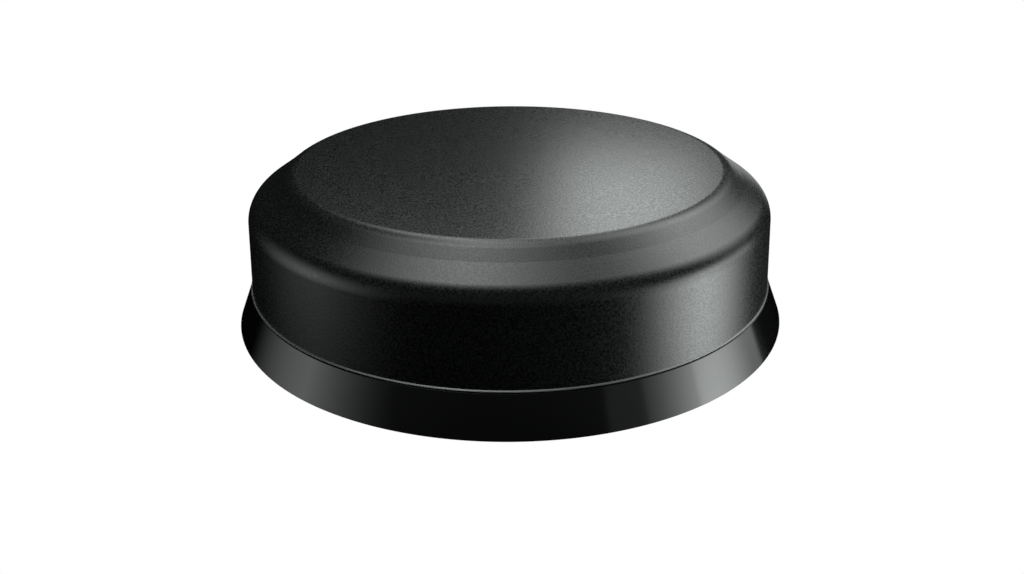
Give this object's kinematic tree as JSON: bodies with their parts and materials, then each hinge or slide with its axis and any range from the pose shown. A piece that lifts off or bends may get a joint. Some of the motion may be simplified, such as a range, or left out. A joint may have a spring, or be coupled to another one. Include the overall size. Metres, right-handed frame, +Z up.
{
  "type": "gnss receiver",
  "caption": "Low round black satellite positioning receiver that twist-locks onto a flared screw-down base, with a threaded round cable inlet underneath.",
  "frame": {"origin": "centre of the base's underside, on the mounting surface", "axes": "+Z up through the radome's crown; -Y is the side shown to the viewer"},
  "size_m": [0.155, 0.155, 0.0435],
  "materials": {
    "satin_radome": "black injection-moulded plastic, fine leather-like grain, satin",
    "gloss_base": "black moulded plastic, smooth and glossy",
    "foam_rubber": "closed-cell foam, matte",
    "black_rubber": "moulded rubber, matte",
    "red_silicone": "silicone rubber, satin",
    "machined_aluminium": "turned, fine circular tool marks",
    "coated_casting": "die-cast aluminium, black powder coat",
    "stainless": "stainless steel screw stock",
    "label_foil": "blank satin foil",
    "vent_felt": "expanded membrane, matte white",
    "circuit_board": "glass-epoxy board with green solder mask",
    "patch_ceramic": "pressed dielectric ceramic, matte",
    "silver_plating": "fired silver, satin",
    "contact_gold": "gold-plated brass",
    "tinned_can": "tin-plated steel sheet",
    "brass": "turned brass",
    "chip_epoxy": "moulded epoxy, matte",
    "ferrite": "pressed ferrite, matte",
    "cell_steel": "nickel-plated steel cell",
    "coax_jacket": "black jacket",
    "ivory_nylon": "natural nylon",
    "wire_insulation": "red insulation",
    "nickel_plated": "nickel-plated brass, satin",
    "black_nylon": "moulded nylon, matte"
  },
  "bodies": {
    "mount": {"mounting_base": "gloss_base", "base_gasket": "foam_rubber", "bayonet_ring": "machined_aluminium", "bayonet_screws": "stainless", "rim_seal": "black_rubber"},
    "receiver": {"radome": "satin_radome", "lower_housing": "coated_casting", "housing_seal": "red_silicone", "housing_screws": "stainless", "rating_label": "label_foil", "vent_membrane": "vent_felt", "ground_plane": "machined_aluminium", "antenna_board": "circuit_board", "lower_patch": "patch_ceramic", "lower_electrode": "silver_plating", "upper_patch": "patch_ceramic", "upper_electrode": "silver_plating", "feed_pins": "contact_gold", "lna_shield": "tinned_can", "antenna_screws": "stainless", "upper_standoffs": "brass", "lower_standoffs": "brass", "main_board": "circuit_board", "gnss_module": "tinned_can", "radio_module": "tinned_can", "processor": "chip_epoxy", "board_chips": "chip_epoxy", "power_inductors": "ferrite", "backup_cell": "cell_steel", "coax_jumper": "coax_jacket", "coax_plugs": "contact_gold", "harness_header": "ivory_nylon", "harness_plug": "ivory_nylon", "wire_harness": "wire_insulation", "inlet_shell": "nickel_plated", "inlet_seal": "black_rubber", "inlet_nut": "nickel_plated", "inlet_insulator": "black_nylon", "inlet_contacts": "contact_gold"}
  },
  "joints": [
    {"name": "receiver_twist", "type": "hinge", "parent": "mount", "child": "receiver", "pos_m": [0, 0, 0], "axis": [0, 0, 1], "range_deg": [0, 30]}
  ]
}
